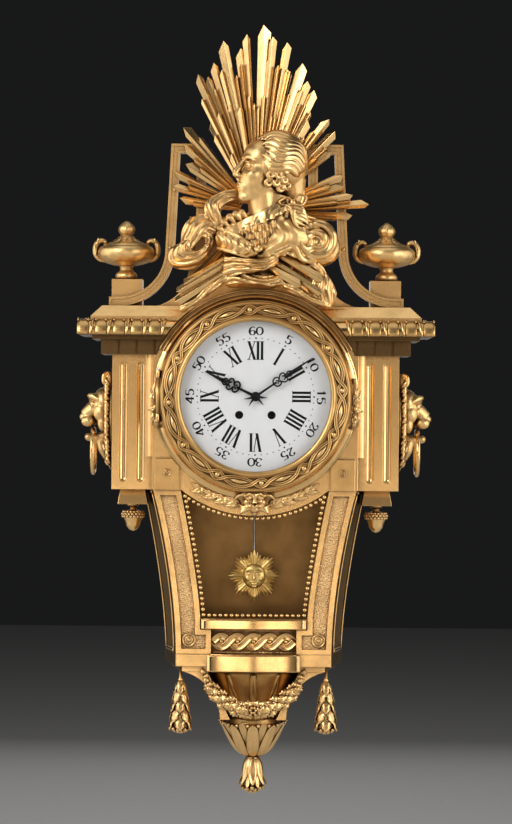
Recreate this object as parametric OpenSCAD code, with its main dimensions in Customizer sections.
// Gilt-bronze cartel wall clock with a bust on a sunburst, a drum dial,
// fluted pilasters with lion rings and an open pendulum window.
// Front faces -Y, the wall is the plane y = 0, +Z is up.
// The origin is the centre of the hanging hole, on the wall plane.
// Pieces are drawn about the dial centre: x to the right, z up, depth out from the wall.

/* [Hanging] */
// Height of the hanging hole above the dial centre
hang_rise = 185; // [178:1:195]
// Radius of the hanging hole
hang_r = 5; // [4:0.5:6]
// Thickness of the back plate
plate_t = 3; // [2:0.5:4]
// Radius of the service opening behind the movement
service_r = 60; // [56:1:70]

/* [Drum] */
// Depth of the drum front from the wall
case_front = 92; // [90:1:98]
// Half width of the drum box
case_half = 134; // [132:1:140]
// Lower edge of the drum box below the dial centre
case_low = 122; // [118:1:126]
// Thickness of the cast walls
wall = 4; // [3:0.5:5]
// Bore of the drum
drum_r = 126; // [124:0.5:127]
// Length of the drum tube behind the front wall
drum_l = 40; // [30:1:44]
// Radius of the arch between the drum and the window
arch_r = 155; // [152:1:160]
// Size of the raised corner plates
corner_w = 32; // [26:1:36]

/* [Dial and bezel] */
// Radius of the enamel dial
dial_r = 100; // [96:0.5:102]
// Thickness of the dial
dial_t = 1.6; // [1:0.1:2.4]
// Height of the cove ring round the dial
cove_h = 12; // [10:0.5:14]
// Outer radius of the bezel
bezel_r = 123; // [121:0.5:124]
// Height of the bezel
bezel_h = 15; // [13:0.5:18]
// Thickness of the glass
glass_t = 2; // [1.4:0.1:2.4]
// Rise of the domed glass
glass_rise = 7; // [5:0.5:9]
// Radius of the hinge pin
pin_r = 1.5; // [1.2:0.1:1.8]
// Half length of the bezel knuckle
knuckle_half = 23; // [16:1:28]
// Winding holes to the side of the dial centre
wind_x = 21; // [20:0.5:22]
// Winding holes below the dial centre
wind_drop = 24; // [23:0.5:25]
// Length of the hour hand
hour_l = 73; // [60:1:80]
// Length of the minute hand
minute_l = 88; // [80:1:92]
// Hour hand, clockwise from noon
hour_turn = 296; // [0:1:359]
// Minute hand, clockwise from noon
minute_turn = 55.5; // [0:0.5:359]

/* [Pilasters and cornices] */
// Width of a pilaster
pil_w = 53; // [48:1:58]
// Depth of the pilaster front from the wall
pil_front = 80; // [76:1:86]
// Top of the pilasters above the dial centre
pil_top = 54; // [50:1:58]
// Radius of the flutes
flute_r = 6.3; // [4:0.1:7]
// Distance between the two flutes
flute_pitch = 22.5; // [18:0.5:26]
// Height of the dentil course
dentil_h = 19; // [15:1:22]
// Projection of the dentil course
dentil_out = 14; // [10:1:18]
// Distance between dentils
dentil_pitch = 23.2; // [18:0.2:26]
// Height of the gadrooned moulding
gadroon_h = 20; // [16:1:24]
// Projection of the gadrooned moulding
gadroon_out = 41; // [34:1:44]
// Height of the sloped top of the cornice
slope_h = 14; // [10:1:18]

/* [Pediment and urns] */
// Half width of the pediment
ped_half = 88; // [82:1:92]
// Top of the pediment above the dial centre
ped_top = 235; // [228:1:242]
// Depth of the pediment front from the wall
ped_front = 70; // [66:1:74]
// Radius of the concave pediment flanks
flank_r = 53; // [45:1:56]
// Outer edge of the upright scroll strip above its sweep
scroll_half = 119; // [116:1:122]
// Outer radius of the scroll's sweep
sweep_r = 73; // [68:1:78]
// Flat run of the scroll on the cornice
scroll_run = 12; // [6:1:14]
// Lean of the upright strip towards the middle
scroll_lean = 7; // [3:0.5:9]
// Width of the scroll strip
scroll_w = 12; // [9:0.5:14]
// Top of the scrolls above the dial centre
scroll_top = 329; // [320:1:335]
// Thickness of the scroll strip from front to back
scroll_t = 16; // [12:1:18]
// Distance of the urns from the middle
urn_x = 169.5; // [164:0.5:174]
// Depth of the urns from the wall
urn_d = 40; // [34:1:42]
// Height of the urn plinth
urn_plinth_h = 36; // [30:1:42]

/* [Sunburst and bust] */
// Centre of the sunburst above the dial centre
sun_z = 240; // [234:1:246]
// Height of the longest ray
ray_l = 244; // [230:1:250]
// Height where the neck meets the bust
neck_z = 236; // [232:1:240]
// Thickness of the cast drapery
cloth_t = 12; // [9:0.5:14]
// Depth of the lower rays out from the back of the bust
low_ray_out = 32; // [31:0.5:36]
// Width of the lower rays
low_ray_w = 12; // [9:0.5:14]
// Left end of the cut that clears the head
head_left = -26; // [-28:1:-20]

/* [Lion heads] */
// Height of the mouth below the dial centre
mouth_drop = 42; // [36:1:48]
// Distance of the mouth from the pilaster
mouth_out = 26; // [24:0.5:28]
// Radius of the hanging ring
loop_r = 29; // [25:0.5:31]
// Radius of the ring bar
loop_bar = 3; // [2.4:0.1:3.4]

/* [Lower case] */
// Height of the lower case
low_h = 213; // [205:1:225]
// Half width of its front at the bottom
low_front_half = 101; // [98:1:106]
// Half width of its back at the bottom
low_back_half = 117; // [112:1:122]
// Half width of the window at the bottom
win_low_half = 69.5; // [66:0.5:73]
// Half width between the feet of the stiles
foot_half = 55.5; // [52:0.5:60]
// Height of the feet of the stiles
foot_h = 32; // [28:1:36]
// Height of the window sill
sill_h = 14; // [10:1:18]
// Width of the raised rims
rim_w = 7; // [5:0.5:9]
// Forward bow of the sill and base band
bow = 8; // [4:0.5:10]

/* [Base] */
// Height of the base band
band_h = 16; // [12:1:20]
// Height of the moulding below the band
mould_h = 7; // [5:0.5:10]
// Height of the bracket
bracket_h = 63; // [56:1:70]
// Rim radius of the lotus cup
cup_r = 45; // [40:0.5:46]
// Height of the lotus cup with its collar
cup_h = 50; // [44:1:56]
// Height of the bud
bud_h = 47; // [40:1:54]
// Distance of the tassels from the middle
tassel_x = 90; // [86:0.5:92]

/* [Pendulum] */
// Pendulum length from its suspension to the middle of the bob
pend_l = 277; // [265:1:285]
// Radius of the bob rays
bob_r = 34; // [28:0.5:36]
// Radius of the pendulum rod
rod_r = 1.1; // [0.9:0.1:1.3]

/* [Movement] */
// Radius of the movement plates
mv_r = 54; // [53:0.5:56]
// Thickness of the movement plates
mplate_t = 2.5; // [2:0.1:3]
// Clear distance between the plates
mv_gap = 40; // [40:0.5:42]
// Running clearance of pivots and pins
run = 0.05; // [0.03:0.01:0.08]

/* [Hidden] */
$fn = 64;

// Clearance of fixed pieces
seat = 0.3;
// Drop of the ring bar below the middle of the mouth
loop_sag = 1.6;

// Colours
gilt = "#d8b25a";
gilt_dark = "#8a6a34";
brass = "#c9a24a";
steel = "#8d9096";
enamel = "#f2f4f6";
ink = "#1b1c20";

// Depths of the drum and dial stack
ring_back = case_front - 1;
ring_face = case_front + cove_h;
ring_r = case_half - 0.4;
disc_r = case_half + 6;
drum_hole_r = disc_r + seat;
dial_back = ring_face - 4;
dial_face = dial_back + dial_t;
bezel_back = ring_face + seat;
bezel_face = bezel_back + bezel_h;
glass_seat = bezel_face - 5;
hinge_x = bezel_r + 3.5;
hinge_d = ring_face + 3;
knuckle_r = pin_r + 1.1;

// Heights of the cornice courses
pil_out = case_half + pil_w;
fascia_z = pil_top + dentil_h;
gadroon_z = fascia_z + 5;
slope_z = gadroon_z + gadroon_h + 5;
cornice_top = slope_z + slope_h;
fascia_out = (dentil_out + gadroon_out) / 2 - 2.5;

// Lower case
low_z = -case_low - low_h;
foot_top = low_z + foot_h;
sill_top = foot_top + sill_h;
win_top_half = sqrt(arch_r * arch_r - case_low * case_low) + 1;
stile_back = case_front - 14;
panel_face = case_front - 4;

// Base
band_z = low_z - band_h;
mould_z = band_z - mould_h;
bracket_z = mould_z - bracket_h;
cup_z = bracket_z - cup_h;
cup_d = cup_r + 3;
tassel_d = case_front - 20;
stem_r = 2;

// Sunburst and bust depths
scroll_front = ped_front + 10;
sun_back = scroll_front + 1;
bust_back = sun_back + 9;

// Movement depths
mv_front = ring_back - 3;
mv_top = mv_front - mplate_t;
mv_base = mv_top - mv_gap;
mv_rear = mv_base - mplate_t;
pend_d = mv_rear - 5;
bell_d = mv_rear - 11;
mask_d = 42;

// Wheel modules of the two trains
great_m = 0.48;
second_m = 0.42;
third_m = 0.36;
strike_m = 0.40;
lock_m = 0.34;
minute_m = 0.50;
hour_m = 0.48;
wheel_t = 1.2;
pivot_r = 0.45;
arbor_r = 1.2;
wind_r = 2.5;

// Centres of the arbors, [x, z]
center_at = [0, 0];
going_at = [wind_x, -wind_drop];
strike_at = [-wind_x, -wind_drop];
escape_at = [0, 26];
verge_at = [0, 41];
hammer_at = [-40, 12];
minute_at = [0, (12 + 36) / 2 * minute_m];
second_at = meet(going_at, (80 + 10) / 2 * great_m, center_at, (72 + 12) / 2 * second_m);
third_at = meet(center_at, (84 + 7) / 2 * third_m, escape_at, (72 + 10) / 2 * third_m);
strike_second_at = strike_at + polar((80 + 10) / 2 * great_m, 114.6);
pin_at = strike_second_at + polar((64 + 8) / 2 * strike_m, 69.7);
lock_at = pin_at + polar((64 + 8) / 2 * third_m, 72);
fly_at = lock_at + polar((56 + 7) / 2 * lock_m, 117.8);
bell_at = [0, -14];
bell_post_at = [40, -14];
hammer_head_at = [-39.2, -14];

// Points and outlines

// Point at radius r and angle a
function polar(r, a) = [r * cos(a), r * sin(a)];

// Points along an arc
function arc(c, r, a0, a1, n) = [for (i = [0:n]) c + polar(r, a0 + (a1 - a0) * i / n)];

// Closed outline from its right half, listed from top to bottom
function both(half) = concat(half, [for (i = [len(half) - 1:-1:0]) [-half[i][0], half[i][1]]]);

// Evenly spaced heights from z0 to z1
function heights(z0, z1, n) = [for (i = [0:n]) z0 + (z1 - z0) * i / n];

// Direction from point a to point b
function toward(a, b) = atan2(b[1] - a[1], b[0] - a[0]);

// Right-hand crossing of a circle round p and a circle round q
function meet(p, rp, q, rq) =
    let (
        span = norm(q - p),
        along = (rp * rp - rq * rq + span * span) / (2 * span),
        off = sqrt(rp * rp - along * along),
        u = (q - p) / span
    )
    p + along * u + off * [u[1], -u[0]];

// Half widths of the lower case at height z
function low_share(z) = (z - low_z) / low_h;
function front_half(z) =
    low_front_half + (case_half - 2 - low_front_half) * pow(low_share(z), 1.8);
function back_half(z) =
    low_back_half + (case_half + 13 - low_back_half) * pow(low_share(z), 1.5);
function win_half(z) =
    win_low_half + (win_top_half - win_low_half)
        * pow(max(0, (z - sill_top) / (-case_low - sill_top)), 1.3);

// Right half of the pediment outline, drawn in by inset
function ped_flank(inset) =
    let (
        half = ped_half - inset,
        r = flank_r + inset,
        curve = arc([ped_half + flank_r, cornice_top + flank_r], r, 180, 262, 8)
    )
    concat([[half, ped_top - inset]], curve, [[curve[8][0], cornice_top]]);

// Outline of a toothed wheel: tooth widths are shares of the tooth pitch
function toothed(n, root_r, tip_r, root_w, tip_w) = [
    for (i = [0:n - 1])
        for (k = [0:3])
            polar(
                (k == 0 || k == 3) ? root_r : tip_r,
                (i + [-root_w, -tip_w, tip_w, root_w][k] / 2) * 360 / n
            )
];

// Basic placing

// Dial-centred drawing set on the wall frame
module at_dial() translate([0, 0, -hang_rise]) children();

// A piece and its mirror image
module pair() {
    children();
    mirror([1, 0, 0]) children();
}

// Front-view outline made solid between two depths
module slab(d0, d1) translate([0, -d0, 0]) rotate([90, 0, 0]) linear_extrude(d1 - d0) children();

// Profile of [radius, depth] turned round the dial axis
module turned(profile) rotate([90, 0, 0]) rotate_extrude() polygon(profile);

// Profile of [radius, depth] turned round a point of the front view
module turned_at(at, profile) translate([at[0], 0, at[1]]) turned(profile);

// Profile of [radius, height] turned round an upright axis
module spun(x, d, profile) translate([x, -d, 0]) rotate_extrude() polygon(profile);

// Round bar from front to back
module rod(at, d0, d1, r)
    translate([at[0], -d0, at[1]]) rotate([90, 0, 0]) cylinder(h = d1 - d0, r = r);

// Upright box between two corners given as [x, depth, z]
module block(a, b)
    translate([a[0], -b[1], a[2]]) cube([b[0] - a[0], b[1] - a[1], b[2] - a[2]]);

// Ball for the modelled figures
module ball(x, z, d, r) translate([x, -d, z]) sphere(r = r, $fn = 14);

// Round swelling between balls listed as [x, z, depth, radius]
module swell(balls) hull() for (b = balls) ball(b[0], b[1], b[2], b[3]);

// Case carcass

module back_plate() color(gilt_dark) at_dial() slab(0, plate_t) difference() {
    polygon(both(concat(
        ped_flank(0),
        [[pil_out, cornice_top], [pil_out, -case_low]],
        [for (z = heights(-case_low, low_z, 10)) [back_half(z), z]],
        [[low_back_half, band_z]]
    )));
    translate([0, -5]) circle(service_r);
    translate([0, hang_rise]) circle(hang_r);
}

module upper_case() color(gilt) at_dial() {
    slab(case_front - wall, case_front) difference() {
        union() {
            translate([-case_half, -case_low]) square([2 * case_half, case_low + pil_top]);
            intersection() {
                circle(disc_r);
                square([2 * case_half, 2 * disc_r], center = true);
            }
            intersection() {
                circle(arch_r);
                translate([-arch_r, -arch_r]) square([2 * arch_r, arch_r - case_low + 1]);
            }
        }
        circle(drum_r);
    }
    turned([
        [drum_r, case_front - wall - drum_l], [drum_r + 3, case_front - wall - drum_l],
        [drum_r + 3, case_front - wall + 1], [drum_r, case_front - wall + 1]
    ]);
    pair() block(
        [case_half - 3, plate_t, -case_low], [case_half, case_front - wall + 1, pil_top]
    );
    pair() slab(case_front - 1, case_front + wall) difference() {
        translate([case_half - wall - corner_w, -case_low]) square([corner_w, corner_w + 9]);
        circle(ring_r + 0.4);
    }
}

module pilasters() color(gilt) at_dial() pair() difference() {
    block([case_half, plate_t, -case_low], [pil_out, pil_front, pil_top]);
    block(
        [case_half + wall, plate_t - 1, -case_low + wall],
        [pil_out - wall, pil_front - wall - 1, pil_top - wall]
    );
    for (k = [-1, 1])
        flute((case_half + pil_out) / 2 + k * flute_pitch / 2);
}

// Round-ended groove in the pilaster front
module flute(x) {
    sink = flute_r - 3;
    low = -case_low + 9 + flute_r;
    high = pil_top - 8 - flute_r;
    translate([x, -pil_front - sink, low]) cylinder(h = high - low, r = flute_r);
    for (z = [low, high])
        translate([x, -pil_front - sink, z]) sphere(r = flute_r);
}

// Cornice section as [projection, height] from the bottom up
cornice_section = concat(
    [[dentil_out, pil_top], [dentil_out, fascia_z]],
    [[fascia_out, fascia_z], [fascia_out, gadroon_z], [gadroon_out, gadroon_z]],
    [for (i = [0:6])
        [gadroon_out - 14 + 14 * cos(i * 15), gadroon_z + 2 + (gadroon_h - 2) * sin(i * 15)]],
    [[gadroon_out - 14, slope_z], [dentil_out - 1, cornice_top]]
);

module cornices() color(gilt) at_dial() pair() difference() {
    union() {
        intersection() {
            translate([1, 0, 0]) rotate([90, 0, 90]) linear_extrude(pil_out + gadroon_out)
                polygon(concat(
                    [[-plate_t, cornice_top], [-plate_t, pil_top]],
                    [for (p = cornice_section) [-pil_front - p[0], p[1]]]
                ));
            slab(0, pil_front + gadroon_out + 1) polygon(concat(
                [[1, cornice_top], [1, pil_top]],
                [for (p = cornice_section) [pil_out + p[0], p[1]]]
            ));
        }
        block([urn_x - 20, urn_d - 20, cornice_top - 1], [urn_x + 20, urn_d + 20,
            cornice_top + urn_plinth_h]);
    }
    rod([0, 0], -1, pil_front + gadroon_out + 2, drum_hole_r);
    block([0, 0, pil_top - 1], [pil_out - wall, pil_front - wall, cornice_top - wall]);
    for (k = [1:4]) {
        groove_x = pil_out + dentil_out - k * dentil_pitch;
        block(
            [groove_x - 1.5, pil_front + dentil_out - 2, pil_top - 1],
            [groove_x + 1.5, pil_front + dentil_out + 1, fascia_z]
        );
        groove_d = pil_front + dentil_out - k * dentil_pitch;
        block(
            [pil_out + dentil_out - 2, max(plate_t, groove_d - 1.5), pil_top - 1],
            [pil_out + dentil_out + 1, max(plate_t, groove_d - 1.5) + 3, fascia_z]
        );
    }
}

module pediment() color(gilt) at_dial() difference() {
    union() {
        slab(ped_front - wall, ped_front) polygon(both(ped_flank(0)));
        slab(plate_t, ped_front - wall + 1) difference() {
            polygon(both(ped_flank(0)));
            polygon(both(concat(ped_flank(wall), [[ped_half, cornice_top - 1]])));
        }
    }
    rod([0, 0], -1, ped_front + 1, drum_hole_r);
}

// Strip outline of a scroll, drawn in by inset
module scroll_strip(inset) {
    leg_in = scroll_half - scroll_w;
    mid = [leg_in + sweep_r, cornice_top + sweep_r];
    strip = scroll_w - 2 * inset;
    inner_leg = leg_in - 40 + inset;
    intersection() {
        difference() {
            translate(mid) circle(sweep_r - inset);
            translate(mid) circle(sweep_r - scroll_w + inset);
        }
        translate([leg_in, cornice_top]) square(sweep_r);
    }
    translate([mid[0] - 0.5, cornice_top + inset]) square([scroll_run + 0.5 - inset, strip]);
    polygon([
        [leg_in + inset, mid[1] - 0.5], [leg_in + inset - scroll_lean, scroll_top - inset],
        [leg_in + inset - scroll_lean + strip, scroll_top - inset], [leg_in + inset + strip, mid[1] - 0.5]
    ]);
    translate([inner_leg, scroll_top - inset - strip])
        square([leg_in - scroll_lean + inset + strip - inner_leg - 0.5, strip]);
    translate([inner_leg, ped_top]) square([strip, scroll_top - ped_top - inset]);
}

module scrolls() color(gilt) at_dial() pair() difference() {
    slab(scroll_front - scroll_t, scroll_front) scroll_strip(0);
    slab(scroll_front - 1.5, scroll_front + 1) scroll_strip(scroll_w / 4);
}

// Urn from its foot up as [radius, height]: drum, stem, bowl, lid and bud
urn_line = [
    [0, 0], [14, 0], [14, 7], [12, 9.5], [9.5, 11], [8.5, 15], [9.5, 18], [20, 20], [30, 23.5],
    [36, 29], [38, 35], [37, 40], [33, 43.5], [29, 44.5], [29, 46], [26, 47], [18, 50],
    [11, 54.5], [8.5, 57], [7.5, 58.5], [9.5, 62], [10.4, 66], [9, 71], [5, 75], [1.2, 78], [0, 78]
];

module urns() color(gilt) at_dial() pair() {
    foot = cornice_top + urn_plinth_h;
    spun(urn_x, urn_d, [for (p = urn_line) [p[0], foot + p[1]]]);
    for (side = [-1, 1]) translate([urn_x, 0, foot]) mirror([side < 0 ? 1 : 0, 0, 0]) {
        slab(urn_d - 3.5, urn_d + 3.5) polygon(concat(
            arc([31, 39], 12.5, -62, 82, 8), arc([31, 40.5], 7.5, 82, -50, 6)
        ));
        rod([30, 50], urn_d - 4, urn_d + 4, 3.6);
    }
}

// Sunburst and bust

// Rays as [clockwise angle from upright, share of the longest ray, width]
rays = [
    [2, 1, 17], [-4, 0.95, 10], [5, 0.94, 10], [-6.5, 0.88, 12], [10, 0.92, 11],
    [-12, 0.93, 14], [12, 0.78, 12], [-17, 0.83, 11], [17, 0.83, 14], [-21, 0.77, 14],
    [21, 0.75, 11], [-24, 0.80, 11], [25, 0.72, 13], [-27, 0.56, 14], [29, 0.56, 12],
    [37, 0.63, 11], [44, 0.60, 12], [50, 0.51, 10], [-41, 0.60, 13], [-48, 0.53, 11],
    [-56, 0.46, 12], [-65, 0.49, 11], [-73, 0.47, 10], [-81, 0.42, 10], [67, 0.50, 12],
    [73, 0.49, 12], [80, 0.52, 11], [85, 0.60, 11], [92, 0.51, 10], [140, 0.56, 11],
    [147, 0.55, 11], [-137, 0.56, 12], [-146, 0.50, 11]
];

module sunburst() color(gilt) at_dial() {
    rod([0, sun_z - 18], ped_front, bust_back, 40);
    for (i = [0:len(rays) - 1])
        sun_ray(rays[i][0], rays[i][1] * ray_l, rays[i][2], (i % 3) * 1.4);
}

// Gabled bar with a slanted point
module sun_ray(turn, len, w, lift)
    translate([0, 0, sun_z]) rotate([0, turn, 0]) hull() {
        slab(sun_back + lift, sun_back + lift + 2.6) polygon([
            [-w * 0.3, 30], [-w / 2, len - w * 0.9], [w * 0.1, len], [w / 2, len - w * 0.6],
            [w * 0.3, 30]
        ]);
        slab(sun_back + lift + 2.6, sun_back + lift + 5) polygon([
            [-0.4, 30], [-0.4, len - w], [0.4, len - w], [0.4, 30]
        ]);
    }

module bust_head() color(gilt) at_dial() difference() {
    d = bust_back + 30;
    union() {
        swell([[24, 300, d, 34], [34, 292, d, 31]]);
        swell([[2, 294, d, 23], [-8, 262, d, 11], [12, 272, d, 19]]);
        swell([[-19, 292, d, 4], [-27, 279, d, 4], [-16, 276, d, 5]]);
        swell([[14, 264, d, 17], [18, neck_z - 6, d, 19]]);
        swell([[-2, 318, d, 12], [20, 328, d, 14]]);
        swell([[20, 328, d, 14], [48, 318, d, 15]]);
        swell([[16, 290, d + 26, 8], [44, 286, d + 24, 8]]);
        swell([[18, 272, d + 25, 8], [44, 268, d + 23, 8]]);
        swell([[46, 296, d, 23], [50, 264, d, 17]]);
        swell([[34, 252, d + 14, 8], [60, 248, d + 12, 9]]);
    }
    block([-120, bust_back - 60, neck_z - 60], [140, bust_back + 90, neck_z]);
    block([-120, 0, neck_z - 60], [140, bust_back, ped_top + 200]);
}

// Point of the drapery: x, depth out from the back of the bust, height from its neck
function cloth_at(p) = [p[0], -bust_back - p[1], neck_z + p[2]];
function between(a, b, share) = a + (b - a) * share;

// Section of one fold as [share of its width, depth]
fold_section = [[0, 0], [0.3, 3.6], [0.7, 3.6]];

// Egg with three half sizes: across, in depth and upright
module egg(at, half) translate(cloth_at(at)) scale(half) sphere(r = 1, $fn = 14);

// Bar with round ends through a row of points, with a radius at each end
module roll(line, r0, r1) for (i = [0:len(line) - 2]) hull() for (k = [i, i + 1])
    translate(cloth_at(line[k])) sphere(r = between(r0, r1, k / (len(line) - 1)), $fn = 7);

// Cloth between two edge lines, carved into folds side by side that rise towards the middle
module cloth(folds, rise, edge_1, edge_2) {
    across = edge_2[0] - edge_1[0];
    along = edge_1[1] - edge_1[0];
    swap = across[0] * along[2] < across[2] * along[0];
    edge_a = swap ? edge_2 : edge_1;
    edge_b = swap ? edge_1 : edge_2;
    section = concat(
        [for (f = [0:folds - 1], s = fold_section) let (share = (f + s[0]) / folds)
            [share, s[1] + rise * sin(180 * share)]],
        [[1, 0], [1, -cloth_t], [0, -cloth_t]]
    );
    n = len(section);
    last = len(edge_a) - 1;
    polyhedron(
        [for (k = [0:last], s = section)
            cloth_at(between(edge_a[k], edge_b[k], s[0]) + [0, s[1], 0])],
        concat(
            [[for (i = [0:n - 1]) i], [for (i = [n - 1:-1:0]) last * n + i]],
            [for (k = [0:last - 1], i = [0:n - 1]) let (j = (i + 1) % n)
                each [[k * n + i, k * n + n + i, k * n + n + j], [k * n + i, k * n + n + j, k * n + j]]]
        )
    );
}

// Rolled end of the cape: a bar wound outward over a swelling
module cape_roll(at, half, turns) {
    steps = ceil(turns * 8);
    egg(at, half);
    roll([for (i = [0:steps]) let (s = 0.15 + 0.8 * i / steps, a = 126 + 360 * turns * i / steps)
        at + [half[0] * s * cos(a), half[1] * sqrt(1 - s * s), half[2] * s * sin(a)]], 4, 6);
}

// Gabled bar of the lower rays between two points, cut at a slant
module low_ray(from, to, lift) {
    long = norm(to - from);
    translate(cloth_at([from[0], low_ray_out + lift, from[1]]))
        rotate([0, 90 - toward(from, to), 0]) hull() {
            slab(0, 3.2) polygon([
                [-low_ray_w * 0.3, 0], [-low_ray_w / 2, long - low_ray_w / 2], [1, long],
                [low_ray_w / 2, long - low_ray_w / 4], [low_ray_w * 0.3, 0]
            ]);
            slab(3, 7) polygon([[-0.5, 0], [0.5, long - low_ray_w / 2], [1, 0]]);
        }
}

module bust_torso() color(gilt) at_dial() difference() {
    union() {
        coat();
        scarves();
        base_cloth();
        low_ray([-38, -58], [-93, -93], 0);
        low_ray([-40, -66], [-102, -103], 1.4);
        low_ray([-36, -74], [-104, -116], 2.8);
        low_ray([14, -58], [85, -103], 0);
        low_ray([24, -50], [86, -86], 1.4);
        low_ray([10, -66], [58, -93], 2.8);
    }
    block([head_left, bust_back - 60, neck_z], [160, bust_back + 90, neck_z + 60]);
    block([-160, 0, 60], [160, bust_back, neck_z + 60]);
    rod([0, 0], 0, bust_back + 90, drum_hole_r);
    block([-160, 0, 60], [160, pil_front + gadroon_out + seat, slope_z + seat]);
    block([-160, 0, 60], [160, pil_front + gadroon_out - 14 + seat, cornice_top + seat]);
}

// Shoulders, collar, lace front and pleated sash
module coat() {
    egg([8, 20, -30], [48, 30, 34]);
    egg([44, 20, -30], [32, 27, 26]);
    egg([-24, 24, -32], [26, 24, 26]);
    roll([[18, 24, 10], [12, 24, -10]], 20, 26);
    roll([[-38, 36, -27], [-10, 50, -15], [14, 53, -4], [38, 44, 9]], 5, 5);
    for (k = [0:3])
        roll([[-36 + 8 * k, 34 + 2 * k, -28 + 5 * k], [-44 + 8 * k, 36 + 2 * k, -18 + 5 * k]], 3, 5);
    cloth(2, 4,
        [[24, 42, 0], [22, 49, -22], [8, 48, -50]],
        [[64, 28, -6], [62, 38, -30], [36, 40, -56]]);
    cloth(7, 9,
        [[-47, 32, -17], [-53, 37, -30], [-51, 29, -45]],
        [[3, 48, -47], [1, 52, -53], [-5, 45, -60]]);
    for (k = [0:2])
        roll([[38 + 6 * k, 43, 9], [54 + 5 * k, 44 - 2 * k, -8 + 4 * k], [62 + 6 * k, 36 - 2 * k, -18 + 4 * k]], 4, 3);
}

// Scarf that curls away to the left and the rolled cape to the right
module scarves() {
    cloth(2, 4,
        [[-33, 25, 30], [-48, 27, 26], [-65, 28, 16], [-67, 28, 0], [-61, 28, -14], [-56, 26, -28]],
        [[-33, 28, 20], [-42, 31, 17], [-51, 34, 10], [-52, 34, -2], [-47, 34, -14], [-41, 30, -28]]);
    cloth(3, 6,
        [[-48, 22, -10], [-66, 25, -2], [-86, 25, -8], [-97, 23, -26], [-97, 22, -48]],
        [[-50, 28, -26], [-64, 34, -23], [-75, 35, -28], [-80, 33, -37], [-80, 30, -48]]);
    cloth(2, 6,
        [[-92, 24, -36], [-111, 24, -50], [-113, 22, -66], [-99, 22, -75], [-78, 24, -71], [-63, 26, -58],
            [-58, 26, -42]],
        [[-83, 32, -40], [-95, 36, -50], [-96, 36, -58], [-90, 35, -61], [-79, 35, -57], [-71, 34, -49],
            [-67, 32, -41]]);
    roll([[-63, 28, -44], [-62, 30, -34], [-69, 31, -27], [-79, 29, -33]], 5, 4);
    cloth(3, 5,
        [[46, 34, -14], [62, 34, -10], [80, 30, -13]],
        [[34, 40, -50], [54, 38, -60], [76, 32, -68]]);
    cape_roll([78, 18, -40], [28, 20, 26], 1.6);
}

// Cloth under the bust: two swags, a strip to the left and a fall to the right
module base_cloth() {
    egg([-2, 16, -68], [52, 26, 19]);
    egg([0, 14, -84], [58, 20, 12]);
    cloth(3, 5,
        [[-42, 32, -52], [-14, 46, -58], [14, 46, -54], [30, 36, -50]],
        [[-44, 34, -84], [-16, 46, -78], [10, 46, -74], [28, 36, -64]]);
    cloth(2, 4,
        [[-46, 28, -78], [-20, 38, -78], [6, 40, -80], [34, 36, -78]],
        [[-48, 28, -96], [-24, 36, -91], [4, 36, -92], [38, 30, -98]]);
    cloth(2, 3,
        [[-36, 34, -70], [-58, 34, -88], [-80, 32, -106], [-98, 29, -120]],
        [[-40, 36, -88], [-58, 36, -102], [-76, 34, -115], [-97, 30, -129]]);
    cloth(3, 4,
        [[82, 26, -62], [94, 27, -82], [103, 28, -102], [97, 28, -122]],
        [[58, 30, -68], [66, 32, -84], [72, 32, -98], [80, 30, -116]]);
    cloth(2, 3,
        [[30, 34, -86], [50, 34, -94], [72, 32, -104], [98, 29, -114]],
        [[36, 32, -98], [54, 32, -106], [72, 31, -114], [92, 28, -123]]);
}

// Dial, bezel and glass

module dial_ring() color(gilt) at_dial() difference() {
    union() {
        turned(concat(
            [[dial_r + seat, ring_back], [drum_r - seat, ring_back], [drum_r - seat, case_front]],
            [[ring_r, case_front]],
            arc([ring_r, ring_face], cove_h - 3, 270, 180, 8),
            [[dial_r + seat, ring_face]]
        ));
        for (side = [-1, 1]) {
            z0 = side > 0 ? knuckle_half + 0.5 : -knuckle_half - 10.5;
            translate([-hinge_x, -hinge_d, z0]) cylinder(h = 10, r = knuckle_r);
            block([-hinge_x - knuckle_r, case_front + 4, z0], [-hinge_x + knuckle_r, hinge_d, z0 + 10]);
        }
    }
    translate([-hinge_x, -hinge_d, -60]) cylinder(h = 120, r = pin_r);
}

module bezel_hinge_pin() color(steel) at_dial() {
    translate([-hinge_x, -hinge_d, -knuckle_half - 11])
        cylinder(h = 2 * knuckle_half + 22, r = pin_r);
    translate([-hinge_x, -hinge_d, knuckle_half + 10.5]) cylinder(h = 2, r = pin_r + 0.9);
}

module bezel_ring() color(gilt) at_dial() difference() {
    union() {
        turned([
            [dial_r + 0.5, bezel_back], [bezel_r, bezel_back], [bezel_r, bezel_back + 4],
            [bezel_r - 1.5, bezel_back + 7.5], [bezel_r - 4, bezel_back + 8.5],
            [bezel_r - 5, bezel_back + 7], [dial_r + 6, bezel_face - 4], [dial_r + 5, bezel_face - 1],
            [dial_r + 2, bezel_face], [dial_r - 1, bezel_face - 1], [dial_r - 3, bezel_face - 3],
            [dial_r - 3, glass_seat], [dial_r + 0.5, glass_seat]
        ]);
        translate([-hinge_x, -hinge_d, -knuckle_half])
            cylinder(h = 2 * knuckle_half, r = knuckle_r);
        block(
            [-hinge_x, bezel_back + 0.8, -knuckle_half],
            [-dial_r - 15, bezel_back + 4, knuckle_half]
        );
    }
    translate([-hinge_x, -hinge_d, -60]) cylinder(h = 120, r = pin_r + run);
}

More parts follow.
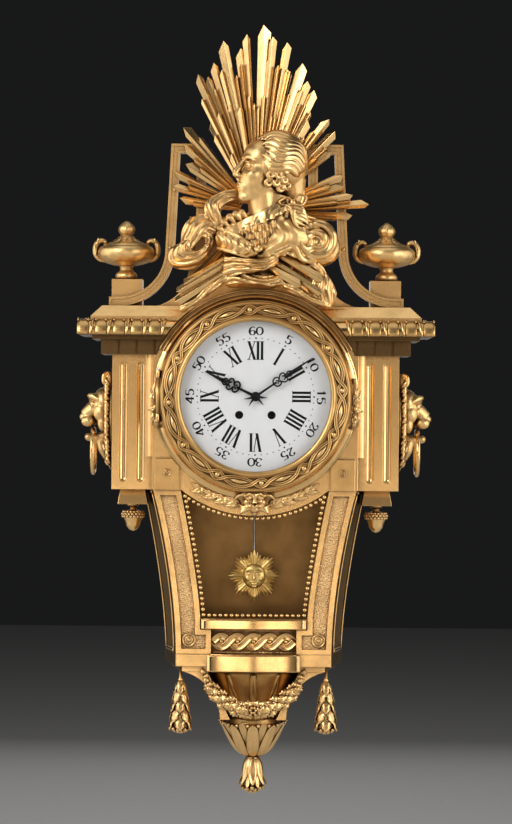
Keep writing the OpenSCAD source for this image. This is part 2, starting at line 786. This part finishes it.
module glass() color("lightcyan", 0.35) at_dial() {
    edge = dial_r + 0.2;
    lip = dial_r - 3.3;
    dome_r = (lip * lip + glass_rise * glass_rise) / (2 * glass_rise);
    rim = asin(lip / dome_r);
    turned(concat(
        [[0, glass_seat - glass_t + glass_rise]],
        [for (i = [1:10]) [dome_r * sin(rim * i / 10),
            glass_seat - glass_t + glass_rise - dome_r * (1 - cos(rim * i / 10))]],
        [[edge, glass_seat - glass_t], [edge, glass_seat], [lip, glass_seat]],
        [for (i = [9:-1:1]) [dome_r * sin(rim * i / 10),
            glass_seat + glass_rise - dome_r * (1 - cos(rim * i / 10))]],
        [[0, glass_seat + glass_rise]]
    ));
}

module dial() color(enamel) at_dial() {
    slab(dial_back, dial_face) difference() {
        circle(dial_r);
        circle(5);
        for (side = [-1, 1])
            translate([side * wind_x, -wind_drop]) circle(4);
    }
    for (foot = [[30, 30], [-30, 30], [0, -46]])
        rod(foot, mv_front, dial_back + 0.5, 1.5);
}

module hour_hand() color(ink) at_dial() rotate([0, hour_turn, 0])
    slab(dial_face + 2, dial_face + 3.2) difference() {
        polygon(both(hand_half(hour_l * 0.58, hour_l, 7, 7, 13)));
        circle(3.2);
        translate([0, hour_l * 0.72]) circle(2.4);
    }

module minute_hand() color(ink) at_dial() {
    rotate([0, minute_turn, 0]) slab(dial_face + 5, dial_face + 6.4) difference() {
        polygon(both(hand_half(minute_l * 0.56, minute_l, 6, 5, 14)));
        circle(1.5);
        translate([0, minute_l * 0.68]) circle(2);
    }
    turned([
        [1.5, dial_face + 6.2], [3, dial_face + 6.2], [2.4, dial_face + 8], [0, dial_face + 8.4],
        [0, dial_face + 7.4], [1.5, dial_face + 7.4]
    ]);
}

// Right half of a hand, from its pierced leaf past the hub to the forked tail
function hand_half(low, tip, half, hub, tail) = concat(
    [[0.2, tip], [1.2, low + (tip - low) * 0.62]],
    arc([0, low + (tip - low) * 0.34], half, 50, -60, 6),
    [[1.3, low]],
    arc([0, 0], hub, 76, -66, 10),
    [[4, -tail], [1.2, -tail * 0.75], [0.1, -tail * 0.6]]
);

// Ornaments of the drum and pilasters

module ring_mask() color(gilt) at_dial() difference() {
    d = case_front;
    z = -case_half;
    union() {
        swell([[0, z + 3, d + 14, 9], [0, z - 6, d + 10, 7]]);
        swell([[0, z + 6, d + 13, 6], [22, z + 6, d + 12, 4]]);
        swell([[0, z + 6, d + 13, 6], [-22, z + 6, d + 12, 4]]);
        swell([[0, z - 4, d + 4, 12], [0, z - 16, d + 3, 5]]);
    }
    rod([0, 0], 0, ring_face + seat, ring_r + 0.4);
    rod([0, 0], 0, ring_face + 60, bezel_r + 0.8);
    block([-60, 0, -arch_r - 10], [60, case_front, -100]);
}

module lion_masks() color(gilt) at_dial() pair() difference() {
    x = pil_out;
    mouth_x = x + mouth_out;
    z = -mouth_drop;
    d = mask_d;
    union() {
        swell([[x + 4, z + 68, d, 8], [x + 6, z + 38, d, 17], [x + 4, z - 18, d, 12],
            [x, z - 52, d, 6]]);
        swell([[x + 8, z + 32, d - 16, 13], [x + 6, z - 8, d - 12, 10]]);
        swell([[x + 8, z + 32, d + 16, 13], [x + 6, z - 8, d + 12, 10]]);
        swell([[x + 16, z + 26, d, 16], [x + 18, z + 14, d, 15]]);
        swell([[mouth_x - 8, z + 20, d, 11], [mouth_x + 5, z + 14, d, 9]]);
        swell([[mouth_x - 12, z - 4, d, 8], [mouth_x - 1, z - 8, d, 6]]);
        swell([[x + 6, z + 46, d - 17, 6], [x + 15, z + 40, d - 14, 5]]);
        swell([[x + 6, z + 46, d + 17, 6], [x + 15, z + 40, d + 14, 5]]);
        swell([[x + 6, z - 4, d, 10], [x + 16, z + 8, d, 12]]);
    }
    block([x - 40, 0, -200], [x, 120, 120]);
    translate([mouth_x, -d, z - loop_sag]) for (turn = [90, -90]) rotate([turn, 0, 0])
        cylinder(h = 15, r1 = loop_bar + 0.4, r2 = loop_bar + 4.4);
}

module left_ring() color(gilt) mirror([1, 0, 0]) lion_ring();

module right_ring() color(gilt) lion_ring();

// Plain ring through the mouth of a lion
module lion_ring() at_dial()
    translate([pil_out + mouth_out, -mask_d, -mouth_drop - loop_sag - loop_r]) rotate([0, 90, 0])
        rotate_extrude() translate([loop_r, 0]) circle(loop_bar);

module rosettes() color(gilt) at_dial() pair() {
    rosette([case_half - wall - corner_w / 2, -case_low + corner_w / 2 + 7], case_front + wall, 5);
    rosette([(front_half(low_z) + foot_half) / 2 + 6, low_z + foot_h / 2 + 2], panel_face, 9);
}

// Turned stud on a face
module rosette(at, face, r)
    turned_at(at, [
        [0, face], [r, face], [r, face + 2], [r * 0.8, face + 3.4], [r * 0.55, face + 2.6],
        [r * 0.45, face + 3.6], [r * 0.25, face + 5], [0, face + 5.4]
    ]);

module pilaster_drops() color(gilt) at_dial() pair() {
    x = (case_half + pil_out) / 2 - 0.5;
    translate([x, -mask_d, -case_low - 20]) rotate([0, 0, 45])
        cylinder(h = 20, r1 = 28, r2 = 23, $fn = 4);
    spun(x, mask_d, [
        [0, -case_low - 19], [8, -case_low - 19], [8, -case_low - 22], [4, -case_low - 25],
        [5, -case_low - 28], [13, -case_low - 30], [14, -case_low - 34], [12, -case_low - 40],
        [11, -case_low - 42], [9, -case_low - 49], [5, -case_low - 54], [0, -case_low - 56]
    ]);
}

// Lower case

// Right stile outline with its foot
stile_outline = concat(
    [for (z = heights(-case_low, low_z, 10)) [front_half(z), z]],
    [[foot_half, low_z], [foot_half, foot_top], [win_low_half, foot_top]],
    [for (z = heights(sill_top, -case_low, 8)) [win_half(z), z]]
);

// Sunk panel inside the raised rims of the stile
stile_panel = concat(
    [for (z = heights(-case_low - rim_w, low_z + rim_w, 10)) [front_half(z) - rim_w, z]],
    [[foot_half + rim_w, low_z + rim_w], [foot_half + rim_w, foot_top - rim_w]],
    [[win_low_half + rim_w, foot_top - rim_w]],
    [for (z = heights(sill_top, -case_low - rim_w, 8)) [win_half(z) + rim_w, z]]
);

module stiles() color(gilt) at_dial() pair() difference() {
    slab(stile_back, case_front) polygon(stile_outline);
    slab(panel_face, case_front + 1) polygon(stile_panel);
}

// Splayed side wall, lofted between the front and the back outline
module side_panels() color(gilt_dark) at_dial() pair() {
    levels = heights(low_z, -case_low, 10);
    last = len(levels) - 1;
    corners = [for (z = levels) each [
        [front_half(z), -stile_back, z], [back_half(z), -plate_t, z],
        [back_half(z) - wall, -plate_t, z], [front_half(z) - wall, -stile_back, z]
    ]];
    sides = [for (i = [0:last - 1]) for (k = [0:3])
        [4 * i + k, 4 * i + 4 + k, 4 * i + 4 + (k + 1) % 4, 4 * i + (k + 1) % 4]];
    polyhedron(
        points = corners,
        faces = concat([[0, 1, 2, 3]], sides, [[4 * last + 3, 4 * last + 2, 4 * last + 1, 4 * last]]),
        convexity = 4
    );
}

// Plan of a bowed front: half width, depth at the ends
module bowed(half, back, front) {
    r = (half * half + bow * bow) / (2 * bow);
    intersection() {
        translate([0, -front - bow + r]) circle(r, $fn = 96);
        translate([-half, -front - bow - 1]) square([2 * half, front + bow + 1 - back]);
    }
}

module window_sill() color(gilt) at_dial()
    translate([0, 0, foot_top]) linear_extrude(sill_h) bowed(win_low_half, stile_back, case_front - 3);

module frieze() color(gilt) at_dial() {
    mid = (low_z + foot_top) / 2;
    swing = foot_h / 2 - 6;
    slab(stile_back, panel_face - 4) translate([-foot_half, low_z]) square([2 * foot_half, foot_h]);
    slab(panel_face - 5, panel_face) for (phase = [0, 180]) {
        xs = heights(-foot_half + 3, foot_half - 3, 30);
        wave = [for (x = xs) [x, mid + swing * sin(x * 540 / (2 * foot_half) + phase)]];
        polygon(concat(
            [for (p = wave) p + [0, 3.4]],
            [for (i = [len(wave) - 1:-1:0]) wave[i] - [0, 3.4]]
        ));
    }
}

// Plan of the lower case, drawn in by inset
module low_plan(inset)
    polygon(both([
        [low_back_half - inset, -plate_t], [low_front_half - inset, -case_front + inset * 0.75]
    ]));

module base_band() color(gilt) at_dial() {
    difference() {
        union() {
            translate([0, 0, band_z]) linear_extrude(band_h) {
                low_plan(0);
                bowed(foot_half, stile_back, case_front);
            }
            translate([0, 0, mould_z]) linear_extrude(mould_h + 1) {
                low_plan(8);
                bowed(foot_half, stile_back, case_front - 5);
            }
        }
        translate([0, 0, band_z + 6]) linear_extrude(band_h) pocket_plan();
    }
}

// Pocket of the base band, open at the top
module pocket_plan()
    polygon(both([
        [low_back_half - 10, -plate_t - 6], [low_front_half - 10, -stile_back + 2]
    ]));

// Right console outline: an outer cove and a slanted inner edge
con_top = low_front_half - 8;
con_low = cup_r - 2;
con_r = (pow(con_top - con_low, 2) + bracket_h * bracket_h) / (2 * (con_top - con_low));
con_turn = atan2(bracket_h, con_top - con_low - con_r);
con_front = case_front - 8;
console_outline = concat(
    arc([con_low + con_r, bracket_z], con_r, con_turn, 180, 10),
    [[con_low - 13, bracket_z], [con_top - 33, mould_z]]
);
bowl_d = 20;
bowl_r = con_front - bowl_d - 1;

module console_pair() pair() slab(12, con_front) polygon(console_outline);

module bracket_bowl() intersection() {
    spun(0, bowl_d, [
        [0, mould_z], [bowl_r, mould_z], [bowl_r - 1, mould_z - 6], [bowl_r - 9, mould_z - 24],
        [bowl_r - 19, mould_z - 42], [bowl_r - 25, bracket_z], [0, bracket_z]
    ]);
    block([-200, plate_t, bracket_z - 1], [200, 200, mould_z + 1]);
}

module base_bracket() color(gilt) at_dial() difference() {
    union() {
        console_pair();
        bracket_bowl();
    }
    pair() translate([tassel_x, -tassel_d, mould_z - 16]) cylinder(h = 17, r = stem_r + seat);
}

module garland() color(gilt) at_dial() difference() {
    swag_half = con_low + 6;
    swag_drop = 24;
    swag_r = (swag_half * swag_half + swag_drop * swag_drop) / (2 * swag_drop);
    reach = asin(swag_half / swag_r);
    translate([0, -con_front - 4, mould_z - 28 - swag_drop + swag_r]) rotate([90, 0, 0])
        rotate([0, 0, -90 - reach]) rotate_extrude(angle = 2 * reach) translate([swag_r, 0]) circle(10);
    console_pair();
    bracket_bowl();
}

module lotus_cup() color(gilt) at_dial() spun(0, cup_d, [
    [0, bracket_z], [cup_r - 9, bracket_z], [cup_r - 11, bracket_z - 4], [cup_r - 9, bracket_z - 8],
    [cup_r, bracket_z - 9], [cup_r - 1, bracket_z - 12], [cup_r - 8, bracket_z - 20],
    [cup_r - 16, bracket_z - 31], [cup_r - 22, cup_z + 7], [cup_r - 29, cup_z + 1], [0, cup_z]
]);

module bud_finial() color(gilt) at_dial() spun(0, cup_d, [
    [0, cup_z], [8, cup_z], [10, cup_z - 7], [14, cup_z - 17], [17, cup_z - 29],
    [18, cup_z - bud_h + 11], [14, cup_z - bud_h + 7], [11, cup_z - bud_h + 2],
    [5, cup_z - bud_h], [0, cup_z - bud_h]
]);

module tassels() color(gilt) at_dial() pair() spun(tassel_x, tassel_d, [
    [0, mould_z], [stem_r, mould_z], [stem_r, mould_z - 13], [5, mould_z - 15], [8, mould_z - 27],
    [11, mould_z - 42], [13, mould_z - 57], [15, mould_z - 72], [13, mould_z - 79],
    [8, mould_z - 83], [0, mould_z - 83]
]);

// Movement frame

// Every arbor with a small pivot in both plates
pivots = [second_at, third_at, escape_at, strike_second_at, pin_at, lock_at, fly_at];
pillars = [[0, -48], [49, -2], [-49, -2], [20, 45], [-20, 45]];

module movement_arms() color(brass) at_dial() pair()
    block([40, mv_front, -6], [drum_r - 4, ring_back, 6]);

module front_plate() color(brass) at_dial() {
    difference() {
        rod(center_at, mv_top, mv_front, mv_r);
        for (at = concat(pivots, [verge_at, hammer_at]))
            rod(at, mv_top - 1, mv_front + 1, pivot_r + run);
        rod(center_at, mv_top - 1, mv_front + 1, 2 + run);
        for (at = [going_at, strike_at])
            rod(at, mv_top - 1, mv_front + 1, wind_r + run);
    }
    rod(minute_at, mv_front - 1, mv_front + 6.5, 1);
    for (side = [-1, 1])
        rod(click_at(side), mv_front - 1, mv_front + 2.4, 1);
}

module rear_plate() color(brass) at_dial() {
    difference() {
        rod(center_at, mv_rear, mv_base, mv_r);
        for (at = pivots)
            rod(at, mv_rear - 1, mv_base + 1, pivot_r + run);
        rod(center_at, mv_rear - 1, mv_base + 1, 1 + run);
        for (at = [verge_at, hammer_at])
            rod(at, mv_rear - 1, mv_base + 1, arbor_r + run);
        for (at = [going_at, strike_at])
            rod(at, mv_rear - 1, mv_base + 1, wind_r + run);
    }
    for (at = pillars)
        rod(at, mv_base - 1, mv_top, 3);
}

module suspension_cock() color(brass) at_dial() {
    block([-6, pend_d - 4.5, verge_at[1] + 5], [6, mv_rear, verge_at[1] + 12]);
    block([-5, pend_d - 4.5, verge_at[1] - 4], [5, pend_d - 2, verge_at[1] + 6]);
    rod(verge_at, pend_d - 3, pend_d + 1.3, 1.5);
}

module bell_stand() color(steel) at_dial() {
    rod(bell_post_at, bell_d - 25, mv_rear, 2.5);
    block(
        [bell_at[0] - 4, bell_d - 25, bell_at[1] - 3],
        [bell_post_at[0] + 1, bell_d - 22, bell_at[1] + 3]
    );
}

module bell() color(brass) at_dial() turned_at(bell_at, [
    [0, bell_d - 22], [8, bell_d - 22], [18, bell_d - 20], [26, bell_d - 15], [31, bell_d - 8],
    [34, bell_d], [32.2, bell_d], [29.4, bell_d - 7.4], [24.8, bell_d - 13.8],
    [17.4, bell_d - 18.5], [8, bell_d - 20.4], [0, bell_d - 20.4]
]);

// Wheels and pinions of the movement

// Crossed-out wheel whose tooth faces the given direction
module train_wheel(at, level, teeth, m, face, rim = 1.8) {
    pitch_r = teeth * m / 2;
    root_r = pitch_r - 1.2 * m;
    slab(mv_base + level, mv_base + level + wheel_t) translate(at) rotate(face) difference() {
        polygon(toothed(teeth, root_r, pitch_r + 1.2 * m, 0.46, 0.16));
        difference() {
            circle(root_r - rim);
            circle(2.8);
            for (k = [0, 90])
                rotate(k) square([2 * root_r, 1.8], center = true);
        }
    }
}

// Leaf pinion with a gap facing the given direction
module leaf_pinion(at, level, top, leaves, m, face) {
    pitch_r = leaves * m / 2;
    slab(mv_base + level, mv_base + top) translate(at) rotate(face + 180 / leaves)
        polygon(toothed(leaves, pitch_r - 1.7 * m, pitch_r + 0.6 * m, 0.28, 0.22));
}

// Arbor between the plates with its two pivots
module arbor(at, r) {
    rod(at, mv_base + seat, mv_top - seat, r);
    rod(at, mv_rear, mv_front, pivot_r);
}

module center_wheel() color(brass) at_dial() {
    train_wheel(center_at, 34.5, 84, third_m, toward(center_at, third_at));
    leaf_pinion(center_at, 1, 3.5, 12, second_m, toward(center_at, second_at));
    rod(center_at, mv_base + seat, mv_top - seat, 1.7);
    rod(center_at, mv_rear, mv_base + 1, 1);
    rod(center_at, mv_top - 1, dial_face + 4, 2);
    rod(center_at, dial_face + 3, dial_face + 7.4, 1.5);
    slab(mv_front + 1, mv_front + 2.5) rotate(toward(center_at, minute_at) + 180 / 12)
        polygon(toothed(12, 6 * minute_m - 1.7 * minute_m, 6 * minute_m + 0.6 * minute_m, 0.28, 0.22));
}

module minute_wheel() color(brass) at_dial() difference() {
    union() {
        slab(mv_front + 1, mv_front + 2.5) translate(minute_at) rotate(toward(minute_at, center_at))
            polygon(toothed(36, 18 * minute_m - 1.2 * minute_m, 18 * minute_m + 1.2 * minute_m, 0.46, 0.16));
        rod(minute_at, mv_front + 2, mv_front + 4.5, 1.55);
        slab(mv_front + 4, mv_front + 5.5) translate(minute_at)
            rotate(toward(minute_at, center_at) + 180 / 10)
                polygon(toothed(10, 5 * hour_m - 1.7 * hour_m, 5 * hour_m + 0.6 * hour_m, 0.28, 0.22));
    }
    rod(minute_at, mv_front, mv_front + 8, 1 + run);
}

module hour_wheel() color(brass) at_dial() difference() {
    union() {
        slab(mv_front + 4, mv_front + 5.5) rotate(toward(center_at, minute_at))
            polygon(toothed(40, 20 * hour_m - 1.2 * hour_m, 20 * hour_m + 1.2 * hour_m, 0.46, 0.16));
        rod(center_at, mv_front + 4, dial_face + 3.4, 3.2);
    }
    rod(center_at, mv_front, dial_face + 5, 2 + run);
}

module second_wheel() color(brass) at_dial() {
    train_wheel(second_at, 1.5, 72, second_m, toward(second_at, center_at));
    leaf_pinion(second_at, 5.5, 9.5, 10, great_m, toward(second_at, going_at));
    arbor(second_at, arbor_r);
}

module third_wheel() color(brass) at_dial() {
    train_wheel(third_at, 14.5, 72, third_m, toward(third_at, escape_at));
    leaf_pinion(third_at, 33.5, 36.5, 7, third_m, toward(third_at, center_at));
    arbor(third_at, 0.6);
}

module escape_wheel() color(brass) at_dial() {
    slab(mv_base + 20.5, mv_base + 20.5 + wheel_t) translate(escape_at) difference() {
        polygon(toothed(40, 10.4, 12.5, 0.5, 0.06));
        difference() {
            circle(9);
            circle(2.8);
            for (k = [0, 90])
                rotate(k) square([20, 1.8], center = true);
        }
    }
    leaf_pinion(escape_at, 13, 17, 10, third_m, toward(escape_at, third_at));
    arbor(escape_at, 1.1);
}

module pallets() color(steel) at_dial() {
    slab(mv_base + 20, mv_base + 22) translate(verge_at) {
        circle(2.2);
        polygon(both([[4, 2], [13, -5], [12.6, -7.2], [11.4, -6.2], [4, -1.6]]));
    }
    rod(verge_at, pend_d + 2, mv_top - seat, arbor_r);
    rod(verge_at, mv_top - 1, mv_front, pivot_r);
    slab(pend_d + 2.2, pend_d + 4.2) union() {
        translate(verge_at) circle(3);
        translate([-1.6, 5]) square([3.2, verge_at[1] - 5]);
        translate([-3, 3]) square([6, 4]);
    }
    pair() block([rod_r + seat, pend_d - 3.5, 3], [3, pend_d + 3, 7]);
}

module pendulum_rod() color(steel) at_dial() {
    bob_z = verge_at[1] - pend_l;
    difference() {
        union() {
            rod(verge_at, pend_d - 1, pend_d + 1, 3.5);
            translate([0, -pend_d, bob_z - 16]) cylinder(h = pend_l + 13.5, r = rod_r);
        }
        rod(verge_at, pend_d - 2, pend_d + 2, 1.5 + run);
    }
    translate([0, -pend_d, bob_z - 16]) cylinder(h = 4, r = rod_r + 0.8);
}

module pendulum_bob() color(gilt) at_dial() {
    bob_z = verge_at[1] - pend_l;
    mid = [0, bob_z];
    difference() {
        union() {
            rod(mid, pend_d + 2, pend_d + 6, bob_r * 0.66);
            for (i = [0:15])
                bob_ray(mid, i * 22.5, i % 2 == 0 ? bob_r : bob_r * 0.84, i % 2 == 0 ? 0 : 0.5);
            turned_at(mid, [
                [0, pend_d + 5], [bob_r * 0.46, pend_d + 5], [bob_r * 0.42, pend_d + 9],
                [bob_r * 0.28, pend_d + 12], [0, pend_d + 13]
            ]);
            block([-4, pend_d - 3.4, bob_z - 12], [4, pend_d + 3, bob_z + 12]);
        }
        translate([0, -pend_d, bob_z - 60]) cylinder(h = 120, r = rod_r);
    }
}

// Pointed ray of the bob
module bob_ray(mid, turn, len, thin)
    slab(pend_d + 2.4 + thin, pend_d + 5.6 - thin) translate(mid) rotate(turn) polygon([
        [bob_r * 0.3, -bob_r * 0.2], [bob_r * 0.62, -bob_r * 0.14], [len, 0], [bob_r * 0.62, bob_r * 0.14],
        [bob_r * 0.3, bob_r * 0.2]
    ]);

// Spring barrel: great wheel, drum wall and cap
module barrel(at, mesh_at) difference() {
    union() {
        slab(mv_base + 6.5, mv_base + 8.5) translate(at) rotate(toward(at, mesh_at))
            polygon(toothed(80, 40 * great_m - 1.2 * great_m, 40 * great_m + 1.2 * great_m, 0.46, 0.16));
        rod(at, mv_base + 8, mv_base + 32.5, 18);
    }
    rod(at, mv_base + 8.5, mv_base + 30.5, 17);
    rod(at, mv_base + 5, mv_base + 34, wind_r + run);
}

module going_barrel() color(brass) at_dial() barrel(going_at, second_at);

module strike_barrel() color(brass) at_dial() barrel(strike_at, strike_second_at);

// Coiled strip inside each barrel
module mainsprings() color(steel) at_dial() for (at = [going_at, strike_at])
    slab(mv_base + 10, mv_base + 29) translate(at) polygon(concat(
        [for (i = [0:96]) polar(5 + 11 * i / 96, i * 22.5)],
        [for (i = [96:-1:0]) polar(5.8 + 10.6 * i / 96, i * 22.5)]
    ));

// Winding arbor with its ratchet and square end
module winding_arbor(at, hand) {
    rod(at, mv_rear, mv_front + 2, wind_r);
    slab(mv_front + seat, mv_front + 2) translate(at) polygon([
        for (i = [0:23]) each [polar(10, hand * i * 15), polar(8.4, hand * (i * 15 + 1.5))]
    ]);
    block([at[0] - 1.7, mv_front + 1.5, at[1] - 1.7], [at[0] + 1.7, dial_back - 3, at[1] + 1.7]);
}

module going_arbor() color(steel) at_dial() winding_arbor(going_at, -1);

module strike_arbor() color(steel) at_dial() winding_arbor(strike_at, 1);

// Pivot of a click
function click_at(side) = [side * (wind_x + 14), -wind_drop - 8];

// Sprung pawl lying just clear of its ratchet
module click(side) difference() {
    slab(mv_front + seat, mv_front + 2) polygon(concat(
        [for (p = arc([0, 0], 2.4, 100, -100, 10)) click_at(side) + [side * p[0], p[1]]],
        [[side * (wind_x + 5.4), -wind_drop - 11], [side * (wind_x + 5.6), -wind_drop - 9.9]]
    ));
    rod(click_at(side), mv_front - 1, mv_front + 4, 1 + run);
}

module going_click() color(steel) at_dial() click(1);

module strike_click() color(steel) at_dial() click(-1);

module strike_second_wheel() color(brass) at_dial() {
    train_wheel(strike_second_at, 1.5, 64, strike_m, toward(strike_second_at, pin_at));
    leaf_pinion(strike_second_at, 5.5, 9.5, 10, great_m, toward(strike_second_at, strike_at));
    arbor(strike_second_at, arbor_r);
}

module pin_wheel() color(brass) at_dial() {
    train_wheel(pin_at, 24.5, 64, third_m, toward(pin_at, lock_at), 2.6);
    for (i = [0:7])
        rod(pin_at + polar(9.4, i * 45), mv_base + 25, mv_base + 29, 0.6);
    leaf_pinion(pin_at, 1, 4, 8, strike_m, toward(pin_at, strike_second_at));
    arbor(pin_at, 0.9);
}

module locking_wheel() color(brass) at_dial() {
    train_wheel(lock_at, 10.5, 56, lock_m, toward(lock_at, fly_at));
    leaf_pinion(lock_at, 23.5, 26.7, 8, third_m, toward(lock_at, pin_at));
    arbor(lock_at, 0.8);
}

module fly() color(brass) at_dial() {
    leaf_pinion(fly_at, 9.5, 12.5, 7, lock_m, toward(fly_at, lock_at));
    arbor(fly_at, 0.6);
    block([fly_at[0] - 8, mv_base + 16.5, fly_at[1] - 0.3], [fly_at[0] + 8, mv_base + 32.5, fly_at[1] + 0.3]);
}

module hammer() color(steel) at_dial() {
    rod(hammer_at, pend_d - 2, mv_top - seat, arbor_r);
    rod(hammer_at, mv_top - 1, mv_front, pivot_r);
    slab(pend_d - 2, pend_d + 1) union() {
        translate(hammer_at) circle(3);
        polygon([hammer_at + [-1.6, 0], hammer_at + [1.6, 0], hammer_head_at + [1.6, 0],
            hammer_head_at + [-1.6, 0]]);
    }
    rod(hammer_head_at, bell_d - 8, pend_d, 4);
    slab(mv_base + 26.5, mv_base + 28.5) translate(hammer_at) rotate(toward(hammer_at, pin_at))
        translate([0, -1]) square([4.4, 2]);
}

back_plate();
upper_case();
pilasters();
cornices();
pediment();
scrolls();
urns();
sunburst();
bust_head();
bust_torso();
dial_ring();
bezel_hinge_pin();
ring_mask();
lion_masks();
rosettes();
pilaster_drops();
stiles();
side_panels();
window_sill();
frieze();
base_band();
base_bracket();
garland();
lotus_cup();
bud_finial();
tassels();
dial();
movement_arms();
front_plate();
rear_plate();
suspension_cock();
bell_stand();
bell();
mainsprings();
bezel_ring();
glass();
center_wheel();
minute_hand();
hour_wheel();
hour_hand();
minute_wheel();
second_wheel();
going_barrel();
third_wheel();
escape_wheel();
pallets();
pendulum_rod();
pendulum_bob();
strike_barrel();
strike_second_wheel();
pin_wheel();
locking_wheel();
fly();
hammer();
going_arbor();
strike_arbor();
going_click();
strike_click();
left_ring();
right_ring();
